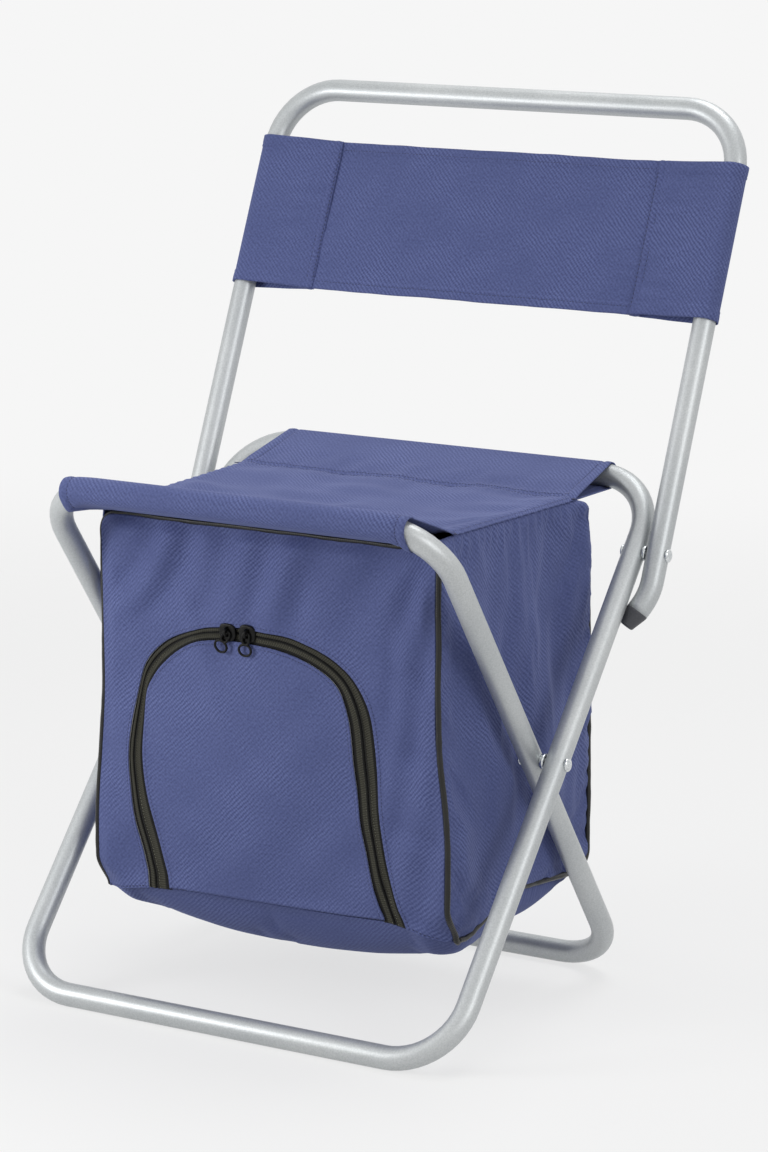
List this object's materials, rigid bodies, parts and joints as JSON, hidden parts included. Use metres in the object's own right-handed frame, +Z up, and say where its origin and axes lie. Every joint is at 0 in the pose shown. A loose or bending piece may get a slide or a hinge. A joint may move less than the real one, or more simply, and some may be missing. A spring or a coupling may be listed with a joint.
{
  "type": "folding cooler stool",
  "caption": "Folding stool of two crossed bent-tube leg frames with a fold-down fabric backrest, a cloth seat and an insulated zip-front cooler bag hung under the seat.",
  "frame": {"origin": "on the floor under the middle of the open stool's outline", "axes": "+X to the right of someone who looks at the stool's front, +Y from the front to the back, +Z up"},
  "size_m": [0.394, 0.3873, 0.6165],
  "materials": {
    "frame_paint": "satin",
    "rivet_zinc": "satin",
    "cap_plastic": "matte",
    "blue_cloth": "matte",
    "piping_cord": "satin",
    "zip_tape": "matte",
    "zip_metal": "satin",
    "foam_board": "matte",
    "foil_lining": "satin"
  },
  "bodies": {
    "inner_frame": {"bag_back_panel": "blue_cloth", "bag_bottom_panel": "blue_cloth", "bag_front_panel": "blue_cloth", "bag_side_panel_left": "blue_cloth", "bag_side_panel_right": "blue_cloth", "foil_liner": "foil_lining", "front_rail_sleeve": "blue_cloth", "inner_leg_frame": "frame_paint", "insulation_back": "foam_board", "insulation_bottom": "foam_board", "insulation_front": "foam_board", "insulation_left": "foam_board", "insulation_right": "foam_board", "insulation_top": "foam_board", "piping_front": "piping_cord", "piping_side_left": "piping_cord", "piping_side_right": "piping_cord", "seat_panel": "blue_cloth", "seat_rear_strip": "blue_cloth", "zip_tape_panel": "zip_tape"},
    "outer_frame": {"outer_leg_frame": "frame_paint", "rear_rail_sleeve": "blue_cloth", "leg_pivot_rivet_left": "rivet_zinc", "leg_pivot_rivet_right": "rivet_zinc", "leg_pivot_washer_left": "rivet_zinc", "leg_pivot_washer_right": "rivet_zinc"},
    "backrest": {"backrest_frame": "frame_paint", "backrest_cover": "blue_cloth", "backrest_end_cap_left": "cap_plastic", "backrest_end_cap_right": "cap_plastic", "backrest_rivet_left": "rivet_zinc", "backrest_rivet_right": "rivet_zinc", "backrest_washer_left": "rivet_zinc", "backrest_washer_right": "rivet_zinc"},
    "flap": {"bag_flap": "blue_cloth", "insulation_flap": "foam_board", "foil_flap": "foil_lining", "zip_tape_flap": "zip_tape"},
    "slider_left": {"zip_slider_left": "zip_metal"},
    "slider_right": {"zip_slider_right": "zip_metal"},
    "pull_left": {"zip_pull_left": "zip_metal"},
    "pull_right": {"zip_pull_right": "zip_metal"}
  },
  "joints": [
    {"name": "fold", "type": "hinge", "parent": "inner_frame", "child": "outer_frame", "pos_m": [0, -0.03905, 0.182], "axis": [1, 0, 0], "range_deg": [0, 72.5], "deforming": ["seat_rear_strip"]},
    {"name": "backrest_fold", "type": "hinge", "parent": "outer_frame", "child": "backrest", "pos_m": [0, 0.06825, 0.31076], "axis": [1, 0, 0], "range_deg": [0, 90]},
    {"name": "flap_open", "type": "hinge", "parent": "inner_frame", "child": "flap", "pos_m": [0, -0.12248, 0.07823], "axis": [1, 0, 0], "range_deg": [0, 110]},
    {"name": "zip_left_run", "type": "hinge", "parent": "flap", "child": "slider_left", "pos_m": [-0.0105, -0.1264, 0.12429], "axis": [0, 0.9986, 0.0523], "range_deg": [-14, 0]},
    {"name": "zip_right_run", "type": "hinge", "parent": "flap", "child": "slider_right", "pos_m": [-0.0105, -0.1264, 0.12429], "axis": [0, 0.9986, 0.0523], "range_deg": [0, 21]},
    {"name": "pull_left_swing", "type": "hinge", "parent": "slider_left", "child": "pull_left", "pos_m": [-0.028, -0.13367, 0.263], "axis": [0, 0.9986, 0.0523], "range_deg": [-35, 35]},
    {"name": "pull_right_swing", "type": "hinge", "parent": "slider_right", "child": "pull_right", "pos_m": [-0.0116, -0.13373, 0.2641], "axis": [0, 0.9986, 0.0523], "range_deg": [-35, 35]}
  ]
}
